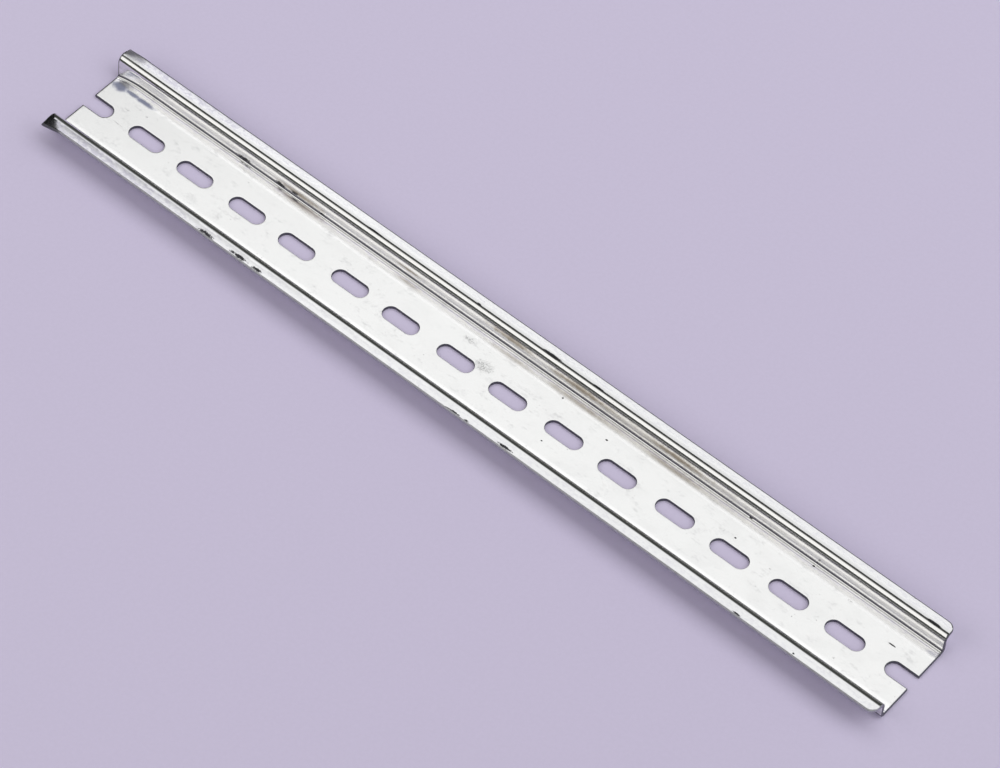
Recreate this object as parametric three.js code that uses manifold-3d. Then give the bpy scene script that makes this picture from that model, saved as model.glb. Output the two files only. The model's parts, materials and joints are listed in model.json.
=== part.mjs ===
// A length of slotted mounting rail: one steel strip, roll-formed to a top-hat section and punched with
// slots. Sizes are in millimetres. X runs along the rail, Y across it and Z up, away from the wall that it
// is screwed to. The underside of the web lies at Z = 0, and the origin is at the middle of it.
import * as THREE from "three";
import { mergeVertices } from "three/addons/utils/BufferGeometryUtils.js";
import Module from "manifold-3d";

// The section of the strip
const RAIL_LENGTH = 285;
const RAIL_WIDTH = 35; // over the free edges of the two lips
const RAIL_HEIGHT = 7.5; // from the underside of the web to the top of the lips
const SHEET = 1; // thickness of the strip
const CHANNEL_WIDTH = 25; // between the inner faces of the two flanges
const FOOT_INNER_RADIUS = 0.8; // the bends at the foot of each flange are tight
const FOOT_OUTER_RADIUS = FOOT_INNER_RADIUS + SHEET;
const LIP_INNER_RADIUS = 1.8; // the bends between flange and lip are wider
const LIP_OUTER_RADIUS = LIP_INNER_RADIUS + SHEET;
const LIP_CORNER_RADIUS = 2.4; // the press rounds both lips where it crops the +X end

// The slots. The press cuts two at each stroke and then feeds the strip on.
const SLOT_LENGTH = 11.8; // over the round ends
const SLOT_WIDTH = 4.8;
const STROKE_FEED = 37.3;
const STROKE_COUNT = 9; // the first and the last run off the ends, and leave an open slot at each
const PUNCH_SPACING = 18.27; // between the two punches of one stroke
const PUNCH_STAGGER = 0.26; // the two punches are this far out of line across the rail

// How finely the round stretches are cut into flats
const BEND_STEPS = 6;
const SLOT_END_STEPS = 14;

const CUT_MARGIN = 2; // how far a cutting shape stands past the metal
const QUARTER = Math.PI / 2;

const STEEL = {
  color: 0xd8dadb, // bright zinc plate
  roughness: 0.32,
  metalness: 1,
};

const wasm = await Module();
wasm.setup();

// A closed three.js geometry as a solid that can be cut
function toSolid(geometry) {
  const bare = geometry.clone();
  bare.deleteAttribute("normal");
  bare.deleteAttribute("uv");
  const merged = mergeVertices(bare);
  const mesh = new wasm.Mesh({
    numProp: 3,
    vertProperties: new Float32Array(merged.attributes.position.array),
    triVerts: new Uint32Array(merged.index.array),
  });
  return new wasm.Manifold(mesh);
}

// A solid as a three.js geometry with flat-shaded faces
function toGeometry(solid) {
  const mesh = solid.getMesh();
  const shared = new THREE.BufferGeometry();
  shared.setAttribute("position", new THREE.BufferAttribute(mesh.vertProperties, 3));
  shared.setIndex(new THREE.BufferAttribute(mesh.triVerts, 1));
  const geometry = shared.toNonIndexed();
  geometry.computeVertexNormals();
  return geometry;
}

// The outline of the strip's section: its upper face from lip to lip, then its lower face back again
function sectionOutline() {
  const edge = RAIL_WIDTH / 2;
  const flange = CHANNEL_WIDTH / 2;
  const lipBendY = flange + LIP_OUTER_RADIUS;
  const lipBendZ = RAIL_HEIGHT - LIP_OUTER_RADIUS;
  const footBendY = flange - FOOT_INNER_RADIUS;
  const footBendZ = SHEET + FOOT_INNER_RADIUS;
  const outline = new THREE.Shape();
  outline.moveTo(-edge, RAIL_HEIGHT - SHEET);
  outline.lineTo(-edge, RAIL_HEIGHT);
  outline.absarc(-lipBendY, lipBendZ, LIP_OUTER_RADIUS, QUARTER, 0, true);
  outline.absarc(-footBendY, footBendZ, FOOT_INNER_RADIUS, 2 * QUARTER, 3 * QUARTER, false);
  outline.absarc(footBendY, footBendZ, FOOT_INNER_RADIUS, 3 * QUARTER, 4 * QUARTER, false);
  outline.absarc(lipBendY, lipBendZ, LIP_OUTER_RADIUS, 2 * QUARTER, QUARTER, true);
  outline.lineTo(edge, RAIL_HEIGHT);
  outline.lineTo(edge, RAIL_HEIGHT - SHEET);
  outline.absarc(lipBendY, lipBendZ, LIP_INNER_RADIUS, QUARTER, 2 * QUARTER, false);
  outline.absarc(footBendY, footBendZ, FOOT_OUTER_RADIUS, 0, -QUARTER, true);
  outline.absarc(-footBendY, footBendZ, FOOT_OUTER_RADIUS, -QUARTER, -2 * QUARTER, true);
  outline.absarc(-lipBendY, lipBendZ, LIP_INNER_RADIUS, 0, QUARTER, false);
  outline.closePath();
  return outline;
}

// The formed strip before it is punched, with its section swept along X
function formedStrip() {
  const geometry = new THREE.ExtrudeGeometry(sectionOutline(), {
    depth: RAIL_LENGTH,
    bevelEnabled: false,
    curveSegments: BEND_STEPS,
  });
  const across = new THREE.Vector3(0, 1, 0);
  const up = new THREE.Vector3(0, 0, 1);
  const along = new THREE.Vector3(1, 0, 0);
  geometry.applyMatrix4(new THREE.Matrix4().makeBasis(across, up, along));
  geometry.translate(-RAIL_LENGTH / 2, 0, 0);
  return toSolid(geometry);
}

// The space inside the cropped outline as seen from above: square at -X, round corners at +X
function croppedPlan() {
  const edge = RAIL_WIDTH / 2;
  const cornerX = RAIL_LENGTH / 2 - LIP_CORNER_RADIUS;
  const cornerY = edge - LIP_CORNER_RADIUS;
  const startX = -RAIL_LENGTH / 2 - CUT_MARGIN;
  const outline = new THREE.Shape();
  outline.moveTo(startX, edge);
  outline.lineTo(startX, -edge);
  outline.absarc(cornerX, -cornerY, LIP_CORNER_RADIUS, -QUARTER, 0, false);
  outline.absarc(cornerX, cornerY, LIP_CORNER_RADIUS, 0, QUARTER, false);
  outline.closePath();
  const geometry = new THREE.ExtrudeGeometry(outline, {
    depth: RAIL_HEIGHT + 2 * CUT_MARGIN,
    bevelEnabled: false,
    curveSegments: BEND_STEPS,
  });
  geometry.translate(0, 0, -CUT_MARGIN);
  return toSolid(geometry);
}

// What one punch takes out of the web, with the slot's middle at x, y
function punchedSlot(x, y) {
  const radius = SLOT_WIDTH / 2;
  const reach = SLOT_LENGTH / 2 - radius;
  const outline = new THREE.Shape();
  outline.absarc(x + reach, y, radius, -QUARTER, QUARTER, false);
  outline.absarc(x - reach, y, radius, QUARTER, 3 * QUARTER, false);
  outline.closePath();
  const geometry = new THREE.ExtrudeGeometry(outline, {
    depth: SHEET + 2 * CUT_MARGIN,
    bevelEnabled: false,
    curveSegments: SLOT_END_STEPS,
  });
  geometry.translate(0, 0, -CUT_MARGIN);
  return toSolid(geometry);
}

// The strip formed, cropped to length and punched
function rail() {
  let solid = formedStrip().intersect(croppedPlan());
  for (let stroke = 0; stroke < STROKE_COUNT; stroke += 1) {
    const strokeX = (stroke - (STROKE_COUNT - 1) / 2) * STROKE_FEED;
    for (const side of [-1, 1]) {
      const x = strokeX + (side * PUNCH_SPACING) / 2;
      const y = (-side * PUNCH_STAGGER) / 2;
      solid = solid.subtract(punchedSlot(x, y));
    }
  }
  const mesh = new THREE.Mesh(toGeometry(solid), new THREE.MeshStandardMaterial(STEEL));
  mesh.name = "rail";
  return mesh;
}

const group = new THREE.Group();
group.add(rail());

export default group;
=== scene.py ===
"""A slotted top-hat mounting rail of bright zinc-plated steel, lying on pale lavender board.

The rail is one strip of steel. It is laid out flat, in millimetres, with x along the strip and s across it
from its middle. The flat plan is then given its thickness, wrapped round the rail's section and dented
where the shear pulled it down. X runs along the rail, Y across it and Z up, as in the frame.
"""
import json
import math

import bmesh
import bpy
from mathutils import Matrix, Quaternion, Vector, noise


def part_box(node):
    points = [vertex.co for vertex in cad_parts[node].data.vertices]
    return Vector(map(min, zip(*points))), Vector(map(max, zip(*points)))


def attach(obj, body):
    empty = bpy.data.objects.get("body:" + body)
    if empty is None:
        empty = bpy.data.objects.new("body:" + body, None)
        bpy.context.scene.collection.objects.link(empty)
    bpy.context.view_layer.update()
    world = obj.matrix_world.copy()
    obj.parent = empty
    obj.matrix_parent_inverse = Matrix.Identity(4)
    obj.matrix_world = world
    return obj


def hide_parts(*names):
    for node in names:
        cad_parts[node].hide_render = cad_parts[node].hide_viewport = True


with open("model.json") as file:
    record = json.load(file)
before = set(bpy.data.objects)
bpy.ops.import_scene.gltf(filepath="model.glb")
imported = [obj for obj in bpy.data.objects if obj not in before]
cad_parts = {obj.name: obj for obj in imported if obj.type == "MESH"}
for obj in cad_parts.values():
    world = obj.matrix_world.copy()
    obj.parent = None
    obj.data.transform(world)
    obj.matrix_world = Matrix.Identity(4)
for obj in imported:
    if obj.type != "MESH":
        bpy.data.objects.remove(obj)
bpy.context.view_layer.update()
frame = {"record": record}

MM = 0.001


# ---------------------------------------------------------------- sizes, in millimetres

def mounts_by_name():
    """The record's mounts, each under its own name."""
    return {mount["name"]: mount for mount in frame["record"]["mounts"]}


def closed_slot_centres():
    """The middle of each closed slot, from the -X end to the +X end, as (x, y)."""
    centres = []
    for opening in frame["record"]["physics"]["openings"]:
        if opening["name"].startswith("slot_"):
            low, high = opening["box_m"]
            centres.append(((low[0] + high[0]) / 2 / MM, (low[1] + high[1]) / 2 / MM))
    return sorted(centres)


LOW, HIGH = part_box("rail")
HALF_LENGTH = HIGH.x / MM
HALF_WIDTH = HIGH.y / MM
HEIGHT = HIGH.z / MM
SHEET = (mounts_by_name()["web_face"]["pos_m"][2] - LOW.z) / MM

CHANNEL_WIDTH = 25.0  # between the inner faces of the two flanges
FOOT_HOLLOW = 0.8  # radius of the bends at the foot of each flange, on the hollow side
LIP_HOLLOW = 1.8  # radius of the bends between flange and lip, on the hollow side
FOOT_BEND = FOOT_HOLLOW + SHEET / 2  # the same radii at the middle of the sheet
LIP_BEND = LIP_HOLLOW + SHEET / 2
LIP_CORNER = 2.4  # radius of both lips' corners at the +X end
SLOT_LENGTH = 11.8
SLOT_WIDTH = 4.8

CLOSED_SLOTS = closed_slot_centres()
FEED = CLOSED_SLOTS[2][0] - CLOSED_SLOTS[0][0]  # the press feeds the strip on by two slots at a time
OPEN_SLOT_LOW = (CLOSED_SLOTS[1][0] - FEED, CLOSED_SLOTS[1][1])
OPEN_SLOT_HIGH = (CLOSED_SLOTS[-2][0] + FEED, CLOSED_SLOTS[-2][1])

LEAN = math.tan(math.radians(1.5))  # the rolls left both flanges leaning in

# The strip's half width, laid out flat along the middle of the sheet: web, foot bend, flange, lip bend, lip
WEB_END = CHANNEL_WIDTH / 2 - FOOT_HOLLOW
FOOT_END = WEB_END + FOOT_BEND * math.pi / 2
FLANGE_END = FOOT_END + HEIGHT - SHEET - FOOT_BEND - LIP_BEND
LIP_START = FLANGE_END + LIP_BEND * math.pi / 2
LIP_BEND_Y = WEB_END + FOOT_BEND + LIP_BEND
STRIP_EDGE = LIP_START + HALF_WIDTH + LEAN * (HEIGHT - SHEET) - LIP_BEND_Y

# The lip bend doesn't stop at once: its last few degrees fade out along the lip
LIP_EASE = 1.8
LIP_EASE_TILT = math.radians(6)

RUN_OFF = 0.27  # the strip ran this far off centre, so the near lip is the wider one

# Edges: the radius that each kind of cut leaves on the upper edge
SLIT_EDGE_RADIUS = 0.4  # along the lips, where the strip was slit from the coil and rolled
SHEARED_EDGE_RADIUS = 0.2  # across the ends
PUNCHED_EDGE_RADIUS = 0.08  # round the slots
LOWER_EDGE_SHARE = 0.3  # the lower edge's radius as a share of the upper one's
EDGE_STEPS = 4
WALL_STEPS = 3

# How finely the strip is divided
SLOT_BAND = 4.7  # the slots' own patches of the web reach this far from the middle
STEP = 0.75  # the usual length of a face along the rail
BEND_STEPS = 12
SLOT_RINGS = 5
FIRST_RING = 0.45  # width of the ring next to a slot
SLOT_GAP_STEPS = 7  # along the web between a slot's round end and the edge of its patch
SLOT_SIDE_STEPS = 12  # across the slot band

# How far the faces wander from true, and the lengths of the waves along and across the strip
WAVE = 0.03
SLOW_WAVE = (34.0, 18.0)
QUICK_WAVE = (9.0, 6.0)
QUICK_SHARE = 0.3
BOW = 45.0  # the length of the waves that bend a whole side of the rail in and out


def steps(start, end, count):
    """count + 1 even steps from start to end."""
    return [start + (end - start) * i / count for i in range(count + 1)]


def fine_steps(start, end):
    """Steps from start to end, none of them longer than STEP."""
    return steps(start, end, max(1, math.ceil(abs(end - start) / STEP)))


def joined(*runs):
    """Several runs of steps in one list, without repeating the values where they meet."""
    values = list(runs[0])
    for run in runs[1:]:
        values.extend(run[1:])
    return values


# ---------------------------------------------------------------- the flat plan

class Plan:
    """The strip laid out flat: patches of four-sided faces, which share their borders once welded."""

    def __init__(self):
        self.mesh = bmesh.new()

    def add_patch(self, rows):
        """Faces between the points of rows, which are lists of the same number of (x, s) points."""
        verts = [[self.mesh.verts.new((x, s, 0.0)) for x, s in row] for row in rows]
        for low, high in zip(verts, verts[1:]):
            for i in range(len(low) - 1):
                self.mesh.faces.new((low[i], low[i + 1], high[i + 1], high[i]))

    def weld(self):
        """Joins the patches into one sheet, and turns every face the same way up."""
        bmesh.ops.remove_doubles(self.mesh, verts=self.mesh.verts, dist=1e-4)
        bmesh.ops.recalc_face_normals(self.mesh, faces=self.mesh.faces)
        self.mesh.normal_update()
        if next(iter(self.mesh.faces)).normal.z < 0:
            bmesh.ops.reverse_faces(self.mesh, faces=self.mesh.faces)
        self.mesh.verts.index_update()

    def border_loops(self):
        """Each border as a list of vertices, with the metal on the left."""
        following = {}
        for edge in self.mesh.edges:
            if edge.is_boundary:
                loop = edge.link_loops[0]
                following[loop.vert] = loop.link_loop_next.vert
        loops = []
        while following:
            first = min(following, key=lambda v: v.index)
            loop = [first]
            after = following.pop(first)
            while after is not first:
                loop.append(after)
                after = following.pop(after)
            loops.append(loop)
        return loops


def outward_directions(loop):
    """For each vertex of a border, the way out of the metal, long enough to keep a mitred corner square."""
    directions = []
    for i, vert in enumerate(loop):
        into = (vert.co - loop[i - 1].co).normalized()
        out_of = (loop[(i + 1) % len(loop)].co - vert.co).normalized()
        first = Vector((into.y, -into.x, 0.0))
        second = Vector((out_of.y, -out_of.x, 0.0))
        directions.append((first + second) / (1.0 + first.dot(second)))
    return directions


def arc(centre, radius, start, end, count):
    """count + 1 points round part of a circle, with the angles in degrees."""
    angles = [math.radians(angle) for angle in steps(start, end, count)]
    return [(centre[0] + radius * math.cos(a), centre[1] + radius * math.sin(a)) for a in angles]


def rings_between(outline, border):
    """Rows of points from a slot's outline to the border of its patch.

    The first ring keeps the slot's shape.
    """
    rows = [outline, [between(p, q, FIRST_RING / distance(p, q)) for p, q in zip(outline, border)]]
    for ring in range(1, SLOT_RINGS):
        rows.append([between(p, q, ring / (SLOT_RINGS - 1)) for p, q in zip(rows[1], border)])
    return rows


def distance(p, q):
    """The length from p to q."""
    return math.hypot(q[0] - p[0], q[1] - p[1])


def between(p, q, share):
    """The point that is share of the way from p to q."""
    return (p[0] + (q[0] - p[0]) * share, p[1] + (q[1] - p[1]) * share)


STRAIGHT = SLOT_LENGTH / 2 - SLOT_WIDTH / 2  # from a slot's middle to the middle of its round end
END_STEPS = 2 * SLOT_GAP_STEPS + SLOT_SIDE_STEPS  # round a slot's end


def slot_end(x, y, border_x, towards):
    """Half of a slot's patch: the round end at x, y, and the part of the border that faces it.

    towards is 1 where border_x lies on the +X side. Both runs go round the same way as seen from above.
    """
    first_angle = -90 * towards
    outline = arc((x, y), SLOT_WIDTH / 2, first_angle, first_angle + 180, END_STEPS)
    near, far = -SLOT_BAND * towards, SLOT_BAND * towards
    leave = [(px, near) for px in steps(x, border_x, SLOT_GAP_STEPS)]
    side = [(border_x, py) for py in steps(near, far, SLOT_SIDE_STEPS)]
    back = [(px, far) for px in steps(border_x, x, SLOT_GAP_STEPS)]
    return outline, joined(leave, side, back)


def add_closed_slot(plan, centre, left, right):
    """The patch of web round a closed slot, and the x of each point along its long sides."""
    x, y = centre
    radius = SLOT_WIDTH / 2
    run = fine_steps(x - STRAIGHT, x + STRAIGHT)
    right_outline, right_border = slot_end(x + STRAIGHT, y, right, 1)
    left_outline, left_border = slot_end(x - STRAIGHT, y, left, -1)
    lower = [(px, y - radius) for px in run]
    upper = [(px, y + radius) for px in reversed(run)]
    outline = joined(lower, right_outline, upper, left_outline)
    lower_border = [(px, -SLOT_BAND) for px in run]
    upper_border = [(px, SLOT_BAND) for px in reversed(run)]
    border = joined(lower_border, right_border, upper_border, left_border)
    plan.add_patch(rings_between(outline, border))
    before = steps(left, x - STRAIGHT, SLOT_GAP_STEPS)
    after = steps(x + STRAIGHT, right, SLOT_GAP_STEPS)
    return joined(before, run, after)


def add_open_slot(plan, centre, inner, towards):
    """The patch of web round an open slot, and the x of each point along its long sides.

    Its inner border is at x = inner, and towards is 1 at the +X end.
    """
    x, y = centre[0] - towards * STRAIGHT, centre[1]
    radius = SLOT_WIDTH / 2
    end = towards * HALF_LENGTH
    corner = end - towards * LIP_CORNER
    run = joined(fine_steps(x, corner), fine_steps(corner, end))
    round_outline, round_border = slot_end(x, y, inner, -towards)
    side = radius * towards
    out = [(px, y + side) for px in reversed(run)]
    back = [(px, y - side) for px in run]
    outline = joined(out, round_outline, back)
    out_border = [(px, SLOT_BAND * towards) for px in reversed(run)]
    back_border = [(px, -SLOT_BAND * towards) for px in run]
    border = joined(out_border, round_border, back_border)
    plan.add_patch(rings_between(outline, border))
    return sorted(joined(steps(inner, x, SLOT_GAP_STEPS), run))


def rounded_corner(x, s):
    """Moves a point of the square at the corner of a lip onto the quarter disc that the press leaves."""
    u = (x - (HALF_LENGTH - LIP_CORNER)) / LIP_CORNER
    v = (abs(s) - (STRIP_EDGE - LIP_CORNER)) / LIP_CORNER
    if u <= 0 or v <= 0:
        return x, s
    turn = math.pi / 4 * (v / u if v < u else 2 - u / v)
    radius = LIP_CORNER * max(u, v)
    edge = STRIP_EDGE - LIP_CORNER + radius * math.sin(turn)
    return HALF_LENGTH - LIP_CORNER + radius * math.cos(turn), math.copysign(edge, s)


def flat_plan():
    """The whole strip laid out flat, with its slots."""
    plan = Plan()
    middles = [OPEN_SLOT_LOW, *CLOSED_SLOTS, OPEN_SLOT_HIGH]
    borders = [(a[0] + b[0]) / 2 for a, b in zip(middles, middles[1:])]
    columns = add_open_slot(plan, OPEN_SLOT_LOW, borders[0], -1)
    for centre, left, right in zip(CLOSED_SLOTS, borders, borders[1:]):
        columns = joined(columns, add_closed_slot(plan, centre, left, right))
    columns = joined(columns, add_open_slot(plan, OPEN_SLOT_HIGH, borders[-1], 1))
    rows = joined(
        fine_steps(SLOT_BAND, WEB_END),
        steps(WEB_END, FOOT_END, BEND_STEPS),
        fine_steps(FOOT_END, FLANGE_END),
        steps(FLANGE_END, STRIP_EDGE - LIP_CORNER, BEND_STEPS),
        [STRIP_EDGE - LIP_CORNER, LIP_START],
        fine_steps(LIP_START, STRIP_EDGE),
    )
    for side in (-1, 1):
        plan.add_patch([[rounded_corner(x, side * s) for x in columns] for s in rows])
    plan.weld()
    return plan


# ---------------------------------------------------------------- the formed rail

def on_section(s, rise):
    """Where a point of the flat strip goes on the rail's section, as (y, z).

    rise is its height above the middle of the sheet.
    """
    reach = abs(s)
    foot_z = SHEET / 2 + FOOT_BEND
    lip_z = HEIGHT - SHEET / 2 - LIP_BEND
    if reach <= WEB_END:
        y, z = reach, SHEET / 2 + rise
    elif reach <= FOOT_END:
        turn = (reach - WEB_END) / FOOT_BEND
        y = WEB_END + (FOOT_BEND - rise) * math.sin(turn)
        z = foot_z - (FOOT_BEND - rise) * math.cos(turn)
    elif reach <= FLANGE_END:
        y, z = WEB_END + FOOT_BEND - rise, foot_z + reach - FOOT_END
    elif reach <= LIP_START:
        turn = (reach - FLANGE_END) / LIP_BEND
        y = LIP_BEND_Y - (LIP_BEND + rise) * math.cos(turn)
        z = lip_z + (LIP_BEND + rise) * math.sin(turn)
    else:
        y, z = LIP_BEND_Y + reach - LIP_START, HEIGHT - SHEET / 2 + rise
    along_lip = max(0.0, reach - LIP_START)
    if reach > FLANGE_END and along_lip < LIP_EASE:
        share = min(1.0, (reach - FLANGE_END) / (LIP_START - FLANGE_END))
        sag = LIP_EASE_TILT * LIP_EASE / 2 * (1 - along_lip / LIP_EASE) ** 2
        z -= sag * share * share
    y -= LEAN * (z - SHEET / 2)
    y -= math.copysign(RUN_OFF, s) * max(0.0, reach - LIP_START) / (STRIP_EDGE - LIP_START)
    return math.copysign(y, s), z


class Fold:
    """A corner of a lip that the shear pulled down, beyond a line from start to end as seen from above."""

    def __init__(self, start, end, angle, width, drawn_out):
        self.start = Vector((*start, 0.0))
        self.along = Vector((end[0] - start[0], end[1] - start[1], 0.0)).normalized()
        self.beyond = Vector((-self.along.y, self.along.x, 0.0))
        self.angle = math.radians(angle)
        self.width = width  # the fold's own, from flat to its full angle
        self.drawn_out = drawn_out  # how much longer the corner got

    def moved(self, point):
        """Where the fold takes a point of the lip."""
        offset = Vector((point.x, point.y, 0.0)) - self.start
        past = offset.dot(self.beyond) * self.drawn_out
        if past <= 0:
            return point
        turned = min(past, self.width) / self.width * self.angle
        rest = max(0.0, past - self.width)
        reach = self.width / self.angle * math.sin(turned) + rest * math.cos(self.angle)
        drop = self.width / self.angle * (1 - math.cos(turned)) + rest * math.sin(self.angle)
        neutral = HEIGHT - SHEET / 2
        rise = point.z - neutral
        spot = self.start + self.along * offset.dot(self.along)
        spot += self.beyond * (reach + rise * math.sin(turned))
        return Vector((spot.x, spot.y, neutral - drop + rise * math.cos(turned)))


FOLD_LENGTH = 14.0  # no fold reaches further than this from the -X end
NEAR_FOLD = Fold(
    (6.2 - HALF_LENGTH, -HALF_WIDTH), (-HALF_LENGTH, -13.8), angle=16, width=0.3, drawn_out=1.22
)
FAR_FOLD = Fold(
    (-HALF_LENGTH, 13.9), (8.0 - HALF_LENGTH, HALF_WIDTH), angle=19, width=1.2, drawn_out=1.1
)

# The shear also drew the far flange and lip out past the -X end
DRAWN = 0.8
DRAWN_LENGTH = 11.0

# It pushed the foot of that flange in as well, over a shorter length
PUSHED = 1.1
PUSHED_LENGTH = 8.0
PUSHED_FROM = 9.0  # how far from the middle of the strip the push starts


def share_of(value, start, end):
    """How far value has come on its way from start to end, from 0 to 1."""
    return min(1.0, max(0.0, (value - start) / (end - start)))


def sheared(x, s):
    """How far the shear moved a point of the flat strip, near the far corner of the -X end."""
    drawn = DRAWN * share_of(x, DRAWN_LENGTH - HALF_LENGTH, -HALF_LENGTH) ** 2
    drawn *= share_of(s, FOOT_END, FLANGE_END)
    pushed = PUSHED * share_of(x, PUSHED_LENGTH - HALF_LENGTH, -HALF_LENGTH) ** 2
    pushed *= share_of(s, PUSHED_FROM, WEB_END) * share_of(s, FLANGE_END, FOOT_END)
    return Vector((-drawn, -pushed, 0.0))


def wandered(point, s):
    """The small waves that rolling leaves in the faces."""
    slow = Vector((point.x / SLOW_WAVE[0], s / SLOW_WAVE[1], 0.0))
    quick = Vector((point.x / QUICK_WAVE[0], s / QUICK_WAVE[1], 5.0))
    shift = WAVE * (noise.noise(slow) + QUICK_SHARE * noise.noise(quick))
    sideways = WAVE * noise.noise(Vector((point.x / BOW, math.copysign(3.0, s), 9.0)))
    return Vector((point.x, point.y + sideways * min(1.0, abs(s) / WEB_END), point.z + shift))


def formed(x, s, rise):
    """Where a point of the flat strip ends up on the finished rail, in millimetres."""
    y, z = on_section(s, rise)
    point = Vector((x, y, z))
    if x < FOLD_LENGTH - HALF_LENGTH and abs(s) > FLANGE_END:
        point = (NEAR_FOLD if s < 0 else FAR_FOLD).moved(point)
    return wandered(point + sheared(x, s), s)


def edge_profile(radius):
    """The steps from the upper face to the lower one round an edge, each as (distance in, rise)."""
    top, bottom = SHEET / 2, -SHEET / 2
    lower_radius = radius * LOWER_EDGE_SHARE
    profile = []
    for turn in steps(0.0, math.pi / 2, EDGE_STEPS):
        profile.append((radius * (1 - math.sin(turn)), top - radius * (1 - math.cos(turn))))
    for rise in steps(top - radius, bottom + lower_radius, WALL_STEPS)[1:]:
        profile.append((0.0, rise))
    profile.append((lower_radius, bottom))
    return profile


def edge_radius(vert, on_outline):
    """How round the upper edge is at a vertex of a border."""
    if not on_outline:
        return PUNCHED_EDGE_RADIUS
    if abs(vert.co.y) > STRIP_EDGE - LIP_CORNER / 2:
        return SLIT_EDGE_RADIUS
    return SHEARED_EDGE_RADIUS


def rail_mesh():
    """The finished rail as a closed mesh.

    Its attribute "strip" keeps each vertex's x, s and rise on the flat strip, in metres.
    """
    plan = flat_plan()
    loops = plan.border_loops()
    outline = max(loops, key=len)
    outward = {}
    profiles = {}
    for loop in loops:
        outward.update(zip(loop, outward_directions(loop)))
        for vert in loop:
            profiles[vert] = edge_profile(edge_radius(vert, loop is outline))
    flat = edge_profile(0.0)
    places = []

    def place(vert, inset, rise):
        """Adds the flat point under vert, moved in from the edge, and gives its number."""
        spot = vert.co - outward[vert] * inset if vert in outward else vert.co
        places.append((spot.x, spot.y, rise))
        return len(places) - 1

    upper = {vert: place(vert, *profiles.get(vert, flat)[0]) for vert in plan.mesh.verts}
    lower = {vert: place(vert, *profiles.get(vert, flat)[-1]) for vert in plan.mesh.verts}
    faces = [[upper[v] for v in face.verts] for face in plan.mesh.faces]
    faces += [[lower[v] for v in reversed(face.verts)] for face in plan.mesh.faces]
    cut_from = len(faces)
    for loop in loops:
        rings = [[upper[v] for v in loop]]
        for ring in range(1, len(flat) - 1):
            rings.append([place(v, *profiles[v][ring]) for v in loop])
        rings.append([lower[v] for v in loop])
        for above, below in zip(rings, rings[1:]):
            for i in range(len(loop)):
                faces.append([above[i], above[i - 1], below[i - 1], below[i]])
    plan.mesh.free()
    return mesh_of(places, faces, cut_from)


def mesh_of(places, faces, cut_from):
    """The mesh of the flat points in places, once formed. Its faces from cut_from on are cut ones."""
    mesh = bpy.data.meshes.new("rail_strip")
    mesh.from_pydata([formed(*spot) * MM for spot in places], [], faces)
    strip = mesh.attributes.new("strip", "FLOAT_VECTOR", "POINT")
    strip.data.foreach_set("vector", [value * MM for spot in places for value in spot])
    mesh.polygons.foreach_set("use_smooth", [True] * len(faces))
    mesh.polygons.foreach_set("material_index", [0] * cut_from + [1] * (len(faces) - cut_from))
    mesh.validate()
    return mesh


# ---------------------------------------------------------------- materials

class Nodes:
    """A node tree, with short ways to make and join its nodes."""

    def __init__(self, tree):
        self.tree = tree

    def node(self, kind, **settings):
        """A new node with those settings."""
        made = self.tree.nodes.new(kind)
        for name, value in settings.items():
            setattr(made, name, value)
        return made

    def join(self, source, target):
        """Joins an output to an input, or sets the input where source is a plain value."""
        if isinstance(source, bpy.types.NodeSocket):
            self.tree.links.new(source, target)
        else:
            target.default_value = source

    def maths(self, operation, first, second=0.0, clamp=False):
        """A maths node's result."""
        made = self.node("ShaderNodeMath", operation=operation, use_clamp=clamp)
        self.join(first, made.inputs[0])
        self.join(second, made.inputs[1])
        return made.outputs["Value"]

    def ramp(self, value, low, high, to_low=0.0, to_high=1.0):
        """value taken smoothly from low..high to to_low..to_high."""
        made = self.node("ShaderNodeMapRange", interpolation_type="SMOOTHSTEP")
        for name, number in zip(("From Min", "From Max", "To Min", "To Max"), (low, high, to_low, to_high)):
            made.inputs[name].default_value = number
        self.join(value, made.inputs["Value"])
        return made.outputs["Result"]

    def axis(self, vector, name):
        """One part of a vector: X, Y or Z."""
        parts = self.node("ShaderNodeSeparateXYZ")
        self.join(vector, parts.inputs["Vector"])
        return parts.outputs[name]

    def most(self, shares):
        """The largest of several shares."""
        result = shares[0]
        for share in shares[1:]:
            result = self.maths("MAXIMUM", result, share)
        return result

    def times(self, *shares):
        """Several shares multiplied together."""
        result = shares[0]
        for share in shares[1:]:
            result = self.maths("MULTIPLY", result, share)
        return result


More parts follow.
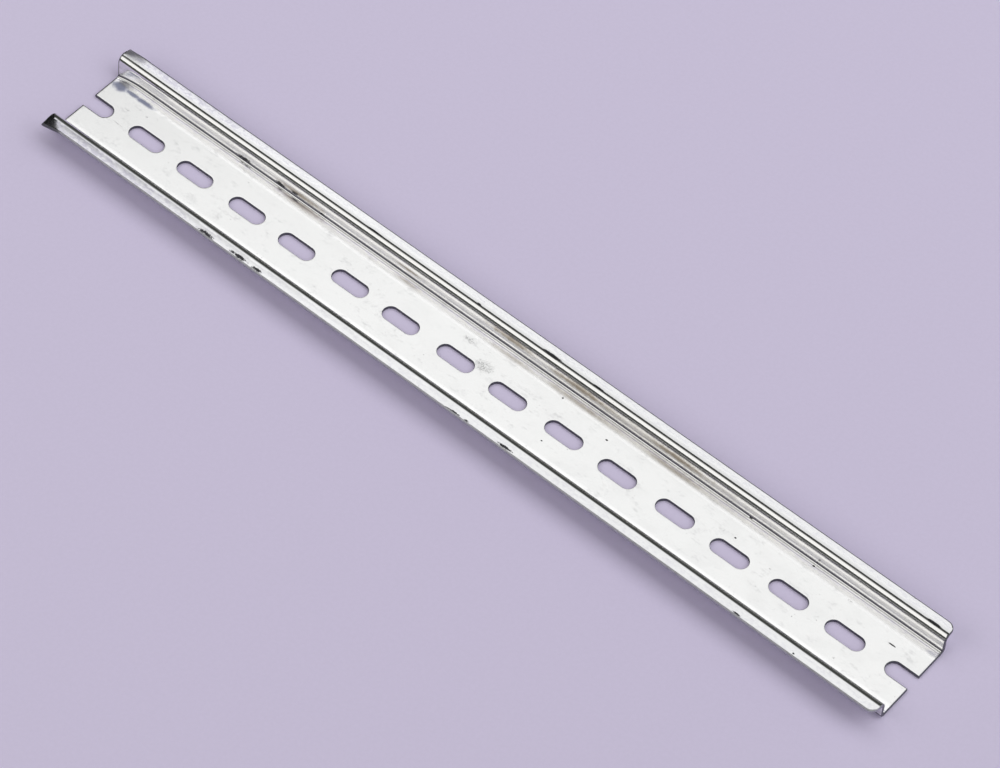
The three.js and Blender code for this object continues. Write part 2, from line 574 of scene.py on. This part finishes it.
class Shader(Nodes):
    """A node material for a piece of the strip."""

    def __init__(self, name):
        self.material = bpy.data.materials.new(name)
        self.material.use_nodes = True
        super().__init__(self.material.node_tree)
        self.tree.nodes.clear()
        self.surface = self.node("ShaderNodeBsdfPrincipled")
        output = self.node("ShaderNodeOutputMaterial")
        self.join(self.surface.outputs["BSDF"], output.inputs["Surface"])

    def place(self, scale=(1.0, 1.0, 1.0), shift=(0.0, 0.0, 0.0)):
        """The place on the flat strip as (x, s, rise) in millimetres, shifted and then scaled."""
        where = self.node("ShaderNodeAttribute", attribute_name="strip")
        shifted = self.node("ShaderNodeVectorMath", operation="MULTIPLY_ADD")
        self.join(where.outputs["Vector"], shifted.inputs[0])
        shifted.inputs[1].default_value = [value / MM for value in scale]
        shifted.inputs[2].default_value = [a * b for a, b in zip(scale, shift)]
        return shifted.outputs["Vector"]

    def noise(self, place, scale, detail=2.0, roughness=0.5):
        """Smooth noise about 0.5, at a place."""
        made = self.node("ShaderNodeTexNoise")
        made.inputs["Scale"].default_value = scale
        made.inputs["Detail"].default_value = detail
        made.inputs["Roughness"].default_value = roughness
        self.join(place, made.inputs["Vector"])
        return made.outputs["Fac"]

    def mix(self, share, first, second):
        """Two colours mixed."""
        made = self.node("ShaderNodeMix", data_type="RGBA")
        self.join(share, made.inputs["Factor"])
        self.join(first, made.inputs["A"])
        self.join(second, made.inputs["B"])
        return made.outputs["Result"]

    def band(self, value, low, high, soft):
        """1 where value is between low and high, and 0 outside, over a soft border."""
        return self.maths(
            "MULTIPLY",
            self.ramp(value, low - soft / 2, low + soft / 2),
            self.ramp(value, high - soft / 2, high + soft / 2, 1.0, 0.0),
        )

    def blots(self, marks, wobble, edge, grain=0.8):
        """How much of a ragged mark there is, with marks as (x, s, length, width) in millimetres.

        wobble is how far the borders stray and edge how soft they are, both as shares of a mark's size.
        grain is the scale of the noise that the borders stray with.
        """
        stray = self.maths("SUBTRACT", self.noise(self.place(), grain, 3.0, 0.65), 0.5)
        stray = self.maths("MULTIPLY", stray, 2 * wobble)
        result = 0.0
        for x, s, length, width in marks:
            far = self.node("ShaderNodeVectorMath", operation="LENGTH")
            self.join(self.place((2.0 / length, 2.0 / width, 0.0), (-x, -s, 0.0)), far.inputs[0])
            reach = self.maths("ADD", far.outputs["Value"], stray)
            result = self.maths("MAXIMUM", self.ramp(reach, 1.0 - edge, 1.0, 1.0, 0.0), result)
        return result

    def bump(self, height, distance_mm):
        """A normal from a height from 0 to 1, which stands for that distance."""
        made = self.node("ShaderNodeBump")
        made.inputs["Strength"].default_value = 1.0
        made.inputs["Distance"].default_value = distance_mm * MM
        self.join(height, made.inputs["Height"])
        return made.outputs["Normal"]


# Marks, each as x, s, length and width in millimetres. s is above 0 on the far side and below 0 on the near
# side.
NEAR_EDGE_DIRT = (
    (-83.0, -STRIP_EDGE + 0.8, 8.0, 1.6),
    (-71.0, -STRIP_EDGE + 0.9, 8.0, 1.4),
    (-64.5, -STRIP_EDGE + 0.8, 4.5, 1.2),
    (4.5, -STRIP_EDGE + 0.4, 6.0, 1.1),
    (9.0, -STRIP_EDGE + 0.6, 2.2, 0.9),
    (22.0, -STRIP_EDGE + 0.8, 6.5, 1.1),
    (98.6, -STRIP_EDGE + 0.6, 3.2, 0.7),
    (116.7, -STRIP_EDGE + 0.8, 1.2, 0.8),
)
FLANGE_DIRT = (
    (-96.0, FOOT_END + 0.2, 7.5, 2.0),
    (-82.6, FOOT_END + 0.1, 4.0, 2.0),
    (-77.5, FOOT_END + 0.6, 4.0, 1.8),
    (-67.6, FOOT_END - 0.2, 2.0, 1.2),
)
BEND_SCORES = (
    (-50.0, LIP_START - 0.85, 7.0, 0.5),
    (-13.3, LIP_START - 0.75, 1.6, 0.5),
    (12.0, LIP_START - 0.8, 8.0, 0.9),
    (27.8, LIP_START - 0.8, 4.5, 0.5),
    (137.6, LIP_START - 0.8, 5.5, 0.8),
)
BROWN_STAINS = (
    (-75.0, FOOT_END + 1.3, 24.0, 3.2),
    (-36.0, FOOT_END + 2.0, 14.0, 1.6),
    (0.0, FLANGE_END + 0.1, 24.0, 3.0),
    (24.0, FLANGE_END - 0.3, 32.0, 3.4),
    (56.0, FLANGE_END - 0.6, 28.0, 3.2),
)
WEB_TICKS = (
    (131.7, 5.6, 2.8, 0.5),
    (81.8, 4.7, 0.8, 0.6),
    (25.0, -5.2, 0.7, 0.5),
    (37.5, 6.4, 0.9, 0.6),
    (20.3, 9.1, 0.6, 0.6),
    (81.0, WEB_END + 0.9, 1.2, 0.8),
    (102.2, WEB_END - 0.4, 0.9, 0.6),
)
WEB_GREY_TICKS = (
    (115.7, 9.0, 2.8, 0.7),
    (123.1, -7.4, 1.3, 0.7),
    (-132.1, 4.3, 2.4, 0.9),
    (-126.4, 6.0, 1.4, 0.9),
    (-130.5, -1.2, 5.0, 0.5),
    (94.4, 3.1, 1.2, 0.8),
    (-10.3, 7.3, 5.0, 2.4),
    (-2.0, 3.0, 8.0, 5.0),
)
FLANGE_FILM = (45.0, FOOT_END + 1.8, 120.0, 7.0)
CRUSHED_CORNER = (2.5 - HALF_LENGTH, STRIP_EDGE - 1.4, 11.0, 5.0)  # of the far lip, where the shear bit
LAVENDER_HEAT = (
    (141.0, 10.3, 7.0, 1.8),
    (-139.5, 9.1, 9.5, 5.4),
    (-131.0, 9.2, 13.0, 2.6),
)
BLUE_HEAT = (
    (-139.5, 9.1, 7.0, 4.2),
    (-134.8, 9.2, 8.0, 1.9),
    (-130.3, 9.2, 10.0, 2.0),
)

# Colours of the plating and of what lies on it. A pair is the two ends of a mottle.
WEB_GREYS = ((0.81, 0.81, 0.81, 1), (0.87, 0.87, 0.87, 1))
FLANGE_GREYS = ((0.70, 0.70, 0.70, 1), (0.90, 0.90, 0.895, 1))
LIP_TONES = ((0.80, 0.80, 0.81, 1), (0.58, 0.565, 0.64, 1))
# painted highlight on the web beside the bends, standing in for the key light's reflection that the flange
# hides there
WEB_PAINTED_HIGHLIGHT = (0.98, 0.975, 0.98, 1)
SMUDGE = (0.55, 0.55, 0.56, 1)
# painted reflection: a lavender band on the web along each foot
WEB_PAINTED_REFLECTION = (0.68, 0.66, 0.84, 1)
# painted reflection: a fine dark lavender line on the web along each foot
FOOT_PAINTED_REFLECTION_LINE = (0.40, 0.385, 0.49, 1)
FLANGE_TOP = (0.80, 0.795, 0.80, 1)
LIP_BEND_TOP = (0.68, 0.68, 0.685, 1)
# painted dark reflection along each foot bend
FOOT_PAINTED_DARK_REFLECTION = (0.2, 0.195, 0.235, 1)
OLIVE_FILM = (0.46, 0.44, 0.39, 1)
BROWN = (0.35, 0.285, 0.21, 1)
LAVENDER = (0.45, 0.45, 0.60, 1)
BLUE = (0.17, 0.185, 0.265, 1)
BLACK = (0.02, 0.02, 0.025, 1)
DARK_STEEL = ((0.08, 0.08, 0.095, 1), (0.19, 0.19, 0.215, 1))
# painted reflection: the lighter tone of the near lip's cut edge
NEAR_EDGE_PAINTED_REFLECTION = ((0.34, 0.34, 0.37, 1), (0.56, 0.56, 0.59, 1))
BOARD_TONES = ((0.777, 0.697, 0.940, 1), (0.792, 0.711, 0.957, 1))

# Roughness: the plating's own, which the burnished bends keep, and what is added to it elsewhere
PLATE_ROUGHNESS = (0.06, 0.11)
WEB_DULLING = 0.14
FLANGE_DULLING = 0.14
LIP_DULLING = 0.06
DIRT_DULLING = 0.25
CRUSHED_DULLING = 0.3
CUT_ROUGHNESS = (0.3, 0.45)


def clouds(shader):
    """The slow clouds of the plating, as noise."""
    return shader.noise(shader.place((0.6, 1.0, 1.0)), 0.16, 5.0, 0.62)


def specks(shader):
    """A few small dark specks, which lie closer together in some patches."""
    fine = shader.noise(shader.place(shift=(7.0, 3.0, 0.0)), 2.2, 2.0, 0.7)
    patches = shader.noise(shader.place(shift=(31.0, 3.0, 0.0)), 0.22, 2.0, 0.5)
    limit = shader.ramp(patches, 0.4, 0.7, 0.78, 0.68)
    over = shader.maths("SUBTRACT", fine, limit)
    return shader.ramp(over, 0.0, 0.03)


def web_colour(shader, across, mottle):
    """The web: cloudy, with a painted highlight that brightens it beside the bends, and along each foot a
    lavender band and a fine line that are painted reflections.
    """
    # painted highlight beside the bends, then a painted lavender reflection band and a painted reflection
    # line along each foot
    painted_highlight = shader.band(across, WEB_END - 2.8, WEB_END + 0.3, 1.0)
    haze_and_reflection = shader.band(across, WEB_END - 1.2, WEB_END - 0.1, 0.4)
    painted_reflection_line = shader.band(across, WEB_END - 0.52, WEB_END - 0.28, 0.14)
    smudges = shader.noise(shader.place((0.5, 0.9, 1.0), (40.0, 0.0, 0.0)), 0.4, 6.0, 0.72)
    colour = shader.mix(shader.ramp(clouds(shader), 0.32, 0.62), *WEB_GREYS)
    colour = shader.mix(shader.times(painted_highlight, 0.85), colour, WEB_PAINTED_HIGHLIGHT)
    colour = shader.mix(shader.ramp(smudges, 0.53, 0.74, 0.0, 0.5), colour, SMUDGE)
    colour = shader.mix(shader.times(haze_and_reflection, shader.ramp(mottle, 0.4, 0.6), 0.35), colour, WEB_PAINTED_REFLECTION)
    return shader.mix(shader.times(painted_reflection_line, 0.8), colour, FOOT_PAINTED_REFLECTION_LINE)


def bend_colour(shader, across, colour):
    """The same colour with duller lip bends and a painted dark reflection along the foot bends."""
    middle = LIP_START - 1.9  # of the lip bend, where it turns from the flange's tone to the lip's
    lip_bend = shader.band(across, middle, LIP_START, 0.5)
    flange_top = shader.band(across, FLANGE_END - 0.4, middle, 0.5)
    # painted dark reflection along each foot bend
    painted_foot_reflection = shader.band(across, WEB_END + 0.9, FOOT_END + 0.05, 0.25)
    colour = shader.mix(flange_top, colour, FLANGE_TOP)
    colour = shader.mix(lip_bend, colour, LIP_BEND_TOP)
    return shader.mix(shader.times(painted_foot_reflection, 0.92), colour, FOOT_PAINTED_DARK_REFLECTION)


def plate_colour(shader, across):
    """The plating's colour, with streaks along the flanges, a mottle on the lips, and the painted highlight
    and painted reflections of the web and the foot bends.

    The lips are duller towards -X.
    """
    flange = shader.band(across, FOOT_END - 0.1, FLANGE_END + 0.4, 0.6)
    lip = shader.ramp(across, LIP_START - 0.8, LIP_START + 0.4)
    streaks = shader.noise(shader.place((0.16, 2.2, 1.0)), 1.0, 4.0, 0.65)
    mottle = shader.noise(shader.place((0.5, 1.1, 1.0), (90.0, 0.0, 0.0)), 1.3, 5.0, 0.7)
    end = shader.ramp(shader.axis(shader.place(), "X"), -60.0, -138.0)

    colour = web_colour(shader, across, mottle)
    colour = shader.mix(flange, colour, shader.mix(shader.ramp(streaks, 0.35, 0.65), *FLANGE_GREYS))
    colour = bend_colour(shader, across, colour)
    haze_and_reflection = shader.maths("ADD", shader.times(shader.ramp(mottle, 0.44, 0.62), 0.3), shader.times(end, 0.45))
    hazy = shader.maths("ADD", haze_and_reflection, shader.times(end, shader.ramp(mottle, 0.4, 0.62), 0.6), clamp=True)
    return shader.mix(lip, colour, shader.mix(hazy, *LIP_TONES))


def stained(shader, across, colour):
    """The same colour with stains on the far flange and the marks of heat beside it.

    The second result is how much brown there is.
    """
    under_lip = shader.band(across, FOOT_END, FLANGE_END + 1.2, 0.6)
    film = shader.times(shader.blots([FLANGE_FILM], wobble=0.5, edge=0.9), under_lip, 0.55)
    colour = shader.mix(film, colour, OLIVE_FILM)
    brown = shader.blots(BROWN_STAINS, wobble=0.5, edge=0.9)
    colour = shader.mix(shader.times(brown, 0.8), colour, BROWN)
    blue = shader.blots(BLUE_HEAT, wobble=0.35, edge=0.7)
    lavender = shader.times(shader.blots(LAVENDER_HEAT, wobble=0.35, edge=0.9), 0.45)
    colour = shader.mix(lavender, colour, LAVENDER)
    return shader.mix(shader.times(blue, 0.9), colour, BLUE), brown


def blackness(shader):
    """How black the marks are: dirt, scores, ticks, specks and a line along the sheared -X end."""
    grit = shader.noise(shader.place((1.0, 1.4, 1.0)), 2.6, 3.0, 0.75)
    dirt = shader.blots(NEAR_EDGE_DIRT + FLANGE_DIRT, wobble=0.5, edge=0.9)
    thick = shader.maths("ADD", grit, shader.times(dirt, 0.3))
    dirt = shader.times(shader.ramp(thick, 0.56, 0.61), shader.ramp(dirt, 0.05, 0.15))
    scores = shader.blots(BEND_SCORES + WEB_TICKS, wobble=0.35, edge=0.35, grain=2.0)
    grey = shader.blots(WEB_GREY_TICKS, wobble=0.8, edge=0.8)
    grey = shader.times(grey, shader.ramp(grit, 0.42, 0.55), 0.45)
    rim = SHEARED_EDGE_RADIUS - HALF_LENGTH
    end_line = shader.times(shader.ramp(shader.axis(shader.place(), "X"), rim + 0.3, rim), 0.75)
    return shader.most([dirt, scores, specks(shader), grey, end_line])


def plate_roughness(shader, across, soiled):
    """The plate's roughness: smooth on the bends, and duller on the flats, dirt and the crushed corner."""
    web = shader.ramp(across, WEB_END - 0.5, WEB_END + 0.1, 1.0, 0.0)
    flange = shader.band(across, FOOT_END - 0.1, FLANGE_END + 0.1, 0.6)
    lip = shader.ramp(across, LIP_START, LIP_START + 0.8)
    dull = shader.maths("ADD", shader.times(web, WEB_DULLING), shader.times(flange, FLANGE_DULLING))
    dull = shader.maths("ADD", dull, shader.times(lip, LIP_DULLING))
    dull = shader.maths("ADD", dull, shader.times(soiled, DIRT_DULLING))
    crushed = shader.blots([CRUSHED_CORNER], wobble=0.2, edge=0.6)
    dull = shader.maths("ADD", dull, shader.times(crushed, CRUSHED_DULLING))
    patchy = shader.ramp(clouds(shader), 0.3, 0.7, *PLATE_ROUGHNESS)
    return shader.maths("ADD", dull, patchy)


def plate_relief(shader, black):
    """The plate's normal, from rolling lines along the strip, a fine grain and the black marks' depth."""
    lines = shader.noise(shader.place((0.05, 7.0, 1.0)), 1.0, 3.0, 0.6)
    grain = shader.noise(shader.place(), 2.6, 3.0, 0.6)
    height = shader.maths("ADD", shader.times(lines, 0.5), shader.times(grain, 0.5))
    height = shader.maths("SUBTRACT", height, shader.times(black, 0.6))
    return shader.bump(height, 0.004)


def zinc_plate():
    """Bright zinc plate over rolled strip.

    The bends are burnished by the rolls, and the flats are duller and cloudy, with lines along the strip.
    Dirt, scores and brown stains collect in and beside the bends and along the near lip's edge. Along each
    foot the colour also holds a painted dark reflection on the bend, and a painted highlight and painted
    reflection lines on the web beside it.
    """
    shader = Shader("zinc_plated_steel")
    across = shader.maths("ABSOLUTE", shader.axis(shader.place(), "Y"))
    colour, brown = stained(shader, across, plate_colour(shader, across))
    black = blackness(shader)
    colour = shader.mix(shader.times(black, 0.95), colour, BLACK)
    shader.join(colour, shader.surface.inputs["Base Color"])
    shader.surface.inputs["Metallic"].default_value = 1.0
    soiled = shader.maths("MAXIMUM", black, brown)
    shader.join(plate_roughness(shader, across, soiled), shader.surface.inputs["Roughness"])
    shader.join(plate_relief(shader, black), shader.surface.inputs["Normal"])
    return shader.material


def cut_edge():
    """Cut steel, streaked through the thickness: dark, with a lighter painted reflection along the near
    lip's edge.
    """
    shader = Shader("cut_edge")
    side = shader.axis(shader.place(), "Y")
    streaks = shader.noise(shader.place((6.0, 6.0, 0.6)), 1.0, 3.0, 0.6)
    dark = shader.mix(shader.ramp(streaks, 0.3, 0.7), *DARK_STEEL)
    # the lighter copy along the near lip's edge is a painted reflection
    near_edge_reflection = shader.mix(shader.ramp(streaks, 0.3, 0.7), *NEAR_EDGE_PAINTED_REFLECTION)
    past_fold = shader.ramp(shader.axis(shader.place(), "X"), 5.0 - HALF_LENGTH, 7.0 - HALF_LENGTH)
    colour = shader.mix(shader.times(shader.ramp(side, -FLANGE_END, -LIP_START), past_fold), dark, near_edge_reflection)
    shader.join(colour, shader.surface.inputs["Base Color"])
    shader.surface.inputs["Metallic"].default_value = 1.0
    shader.join(shader.ramp(streaks, 0.3, 0.7, *CUT_ROUGHNESS), shader.surface.inputs["Roughness"])
    shader.join(shader.bump(streaks, 0.02), shader.surface.inputs["Normal"])
    return shader.material


def board():
    """Pale lavender board, matt and very slightly mottled."""
    shader = Shader("floor_board")
    where = shader.node("ShaderNodeTexCoord")
    grain = shader.noise(where.outputs["Object"], 900.0, 3.0, 0.6)
    colour = shader.mix(shader.ramp(grain, 0.3, 0.7), *BOARD_TONES)
    shader.join(colour, shader.surface.inputs["Base Color"])
    shader.surface.inputs["Roughness"].default_value = 0.7
    shader.surface.inputs["Specular IOR Level"].default_value = 0.15
    shader.join(shader.bump(grain, 0.02), shader.surface.inputs["Normal"])
    return shader.material


# ---------------------------------------------------------------- the piece

FACE_AREA_WEIGHT = 60  # how strongly large faces lead the normals at the edges


def make_rail():
    """The rail, in place of its CAD solid."""
    mesh = rail_mesh()
    mesh.materials.append(zinc_plate())
    mesh.materials.append(cut_edge())
    rail = bpy.data.objects.new("rail_formed", mesh)
    bpy.context.scene.collection.objects.link(rail)
    weighted = rail.modifiers.new("edge_normals", "WEIGHTED_NORMAL")
    weighted.weight = FACE_AREA_WEIGHT
    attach(rail, "root")
    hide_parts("rail")


# ---------------------------------------------------------------- floor, lights and camera

FLOOR_HALF = 6.0  # metres, from the middle of the floor to its edges
FLOOR_GAP = 0.02  # millimetres between the floor and the CAD rail's underside


def make_floor():
    """A wide board just under the rail."""
    mesh = bpy.data.meshes.new("floor")
    z = -FLOOR_GAP * MM
    corners = [(x, y, z) for x, y in ((-1, -1), (1, -1), (1, 1), (-1, 1))]
    mesh.from_pydata([(x * FLOOR_HALF, y * FLOOR_HALF, z) for x, y, z in corners], [], [(0, 1, 2, 3)])
    mesh.materials.append(board())
    floor = bpy.data.objects.new("floor", mesh)
    bpy.context.scene.collection.objects.link(floor)


def softbox(name, place, aim, width, height, brightness):
    """A soft light of that size in metres, facing aim.

    brightness is what a mirror facing its middle shows.
    """
    light = bpy.data.lights.new(name, "AREA")
    light.shape = "RECTANGLE"
    light.size = width
    light.size_y = height
    light.energy = brightness * math.pi * width * height
    box = bpy.data.objects.new(name, light)
    box.location = place
    box.rotation_mode = "QUATERNION"
    box.rotation_quaternion = (Vector(aim) - Vector(place)).to_track_quat("-Z", "Y")
    box.visible_camera = False
    bpy.context.scene.collection.objects.link(box)
    return light


CEILING = 0.9  # metres, the height of the level softboxes
KEY_BRIGHTNESS = 1.16
FILL_BRIGHTNESS = 1.3
FILL_COLOUR = (1.0, 0.985, 0.955)
ROOM_COLOUR = (0.88, 0.92, 0.85, 1.0)


def ceiling_box(name, left, right, near_angle, far_angle, brightness):
    """A level softbox overhead, from x = left to x = right in metres.

    Seen from the rail it spans two angles in the plane across the rail. They are in degrees, from the far
    horizon over the top to the near horizon.
    """
    near_y = CEILING / math.tan(math.radians(near_angle))
    far_y = CEILING / math.tan(math.radians(far_angle))
    x, y = (left + right) / 2, (near_y + far_y) / 2
    return softbox(name, (x, y, CEILING), (x, y, 0.0), right - left, far_y - near_y, brightness)


def cloth(light):
    """The nodes of a softbox's brightness, and the place on its cloth: x and y from 0 to 1."""
    light.use_nodes = True
    nodes = Nodes(light.node_tree)
    place = nodes.node("ShaderNodeNewGeometry").outputs["Parametric"]
    return nodes, nodes.axis(place, "X"), nodes.axis(place, "Y")


def fade(light, nodes, lost):
    """Takes a share of a softbox's brightness away."""
    left = nodes.maths("SUBTRACT", 1.0, lost)
    nodes.join(left, light.node_tree.nodes["Emission"].inputs["Strength"])


def add_key():
    """The key box. It falls off towards +X, along its far edge and in its corner at -X."""
    light = ceiling_box(
        "key", left=-0.84, right=1.45, near_angle=90.5, far_angle=44.5, brightness=KEY_BRIGHTNESS
    )
    nodes, x, y = cloth(light)
    corner = nodes.times(nodes.ramp(x, 0.24, -0.06), nodes.ramp(y, 0.5, 0.9))
    sides = nodes.maths("ADD", nodes.ramp(x, 0.08, 0.24, 0.0, 0.12), nodes.ramp(y, 0.7, 1.0, 0.0, 0.5))
    fade(light, nodes, nodes.maths("MAXIMUM", corner, sides))


def add_fill():
    """The fill box. It falls off along the edge beside the gap."""
    light = ceiling_box(
        "fill", left=-1.5, right=0.0, near_angle=153, far_angle=113, brightness=FILL_BRIGHTNESS
    )
    light.color = FILL_COLOUR
    nodes, _, y = cloth(light)
    fade(light, nodes, nodes.ramp(y, 0.86, 0.96, 0.0, 0.45))


def make_room():
    """The dim room round the lights: darkest towards -X, and with a pale wall towards +X."""
    world = bpy.data.worlds.new("studio")
    world.use_nodes = True
    nodes = Nodes(world.node_tree)
    background = world.node_tree.nodes["Background"]
    background.inputs["Color"].default_value = ROOM_COLOUR
    way = nodes.node("ShaderNodeTexCoord").outputs["Generated"]
    x = nodes.axis(way, "X")
    walls = nodes.ramp(x, -0.62, -0.5, 0.01, 0.085)
    pale_wall = nodes.ramp(x, 0.0, 0.35, 0.0, 0.62)
    nodes.join(nodes.maths("ADD", walls, pale_wall), background.inputs["Strength"])
    bpy.context.scene.world = world


def make_lights():
    """A large box overhead on the far side, another on the near side, and a dark gap between them."""
    add_key()
    add_fill()
    make_room()
    bpy.context.scene.view_settings.view_transform = "Standard"  # so that white metal stays white


# Angles in degrees, with azimuth 0 looking along +Y, and lengths in millimetres
CAMERA_AZIMUTH = 37.31
CAMERA_ELEVATION = 53.51
CAMERA_ROLL = 3.82
CAMERA_DISTANCE = 1076.0
CAMERA_TARGET = (4.6, 2.14, 0.0)
CAMERA_SENSOR = 36.0
CAMERA_LENS = 147.0


def make_camera():
    """The camera, looking down on the rail from its near right side."""
    data = bpy.data.cameras.new("camera")
    data.sensor_width = CAMERA_SENSOR
    data.lens = CAMERA_LENS
    data.clip_start = 0.01
    data.clip_end = 50.0
    camera = bpy.data.objects.new("camera", data)
    azimuth, elevation = math.radians(CAMERA_AZIMUTH), math.radians(CAMERA_ELEVATION)
    back = Vector((
        math.sin(azimuth) * math.cos(elevation),
        -math.cos(azimuth) * math.cos(elevation),
        math.sin(elevation),
    ))
    target = Vector(CAMERA_TARGET) * MM
    camera.location = target + back * CAMERA_DISTANCE * MM
    camera.rotation_mode = "QUATERNION"
    level = (-back).to_track_quat("-Z", "Y")
    camera.rotation_quaternion = level @ Quaternion((0.0, 0.0, 1.0), math.radians(CAMERA_ROLL))
    bpy.context.scene.collection.objects.link(camera)
    bpy.context.scene.camera = camera


make_rail()
make_floor()
make_lights()
make_camera()
